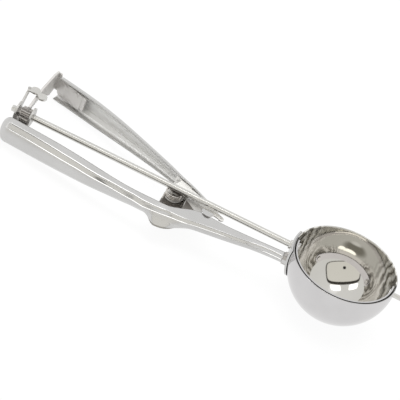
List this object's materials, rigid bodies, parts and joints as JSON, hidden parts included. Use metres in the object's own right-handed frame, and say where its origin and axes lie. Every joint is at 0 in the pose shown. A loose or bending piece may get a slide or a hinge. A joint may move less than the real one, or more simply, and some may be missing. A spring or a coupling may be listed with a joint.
{
  "type": "ice cream scoop",
  "caption": "Squeeze-handle ice cream scoop: a round bowl with a wiper blade that a sprung lever turns through a rack and pinion.",
  "frame": {"origin": "centre of the round bowl, on the axis of the wiper rod", "axes": "+X along the wiper rod from the grip towards the bowl's far side, +Y towards the lever, +Z out of the bowl's mouth"},
  "size_m": [0.2282, 0.0753, 0.0388],
  "materials": {
    "polished_steel": "polished stainless steel",
    "rod_steel": "bright drawn stainless steel",
    "satin_steel": "satin stainless steel",
    "spring_steel": "drawn spring wire"
  },
  "bodies": {
    "frame": {"bowl": "polished_steel", "bowl_saddle": "polished_steel", "rod_bush": "rod_steel", "fixed_handle": "polished_steel", "pinion_bracket": "satin_steel", "bracket_rivets": "rod_steel", "rack_guide": "rod_steel", "guide_rivet": "rod_steel", "hinge_bracket": "satin_steel", "hinge_pin": "rod_steel", "return_spring": "spring_steel"},
    "lever": {"lever_handle": "polished_steel", "lever_bracket": "satin_steel", "lever_rivets": "rod_steel", "rack": "rod_steel", "rack_rivets": "rod_steel"},
    "wiper": {"wiper_rod": "rod_steel", "pinion": "satin_steel", "pinion_pin": "rod_steel", "thrust_washers": "rod_steel", "blade": "polished_steel", "pivot_pin": "rod_steel", "rod_nut": "rod_steel"}
  },
  "joints": [
    {"name": "lever_hinge", "type": "hinge", "parent": "frame", "child": "lever", "pos_m": [-0.0975, 0.0022, -0.0054], "axis": [0, 0, 1], "range_deg": [0, 6.7], "stiffness_Nm_per_rad": 0.6, "springref_deg": -14.32},
    {"name": "wiper_spin", "type": "hinge", "parent": "frame", "child": "wiper", "pos_m": [0, 0, 0], "axis": [1, 0, 0], "range_deg": [0, 180]}
  ],
  "couplings": [
    {"joint": "wiper_spin", "follows": "lever_hinge", "ratio": 26.705}
  ]
}
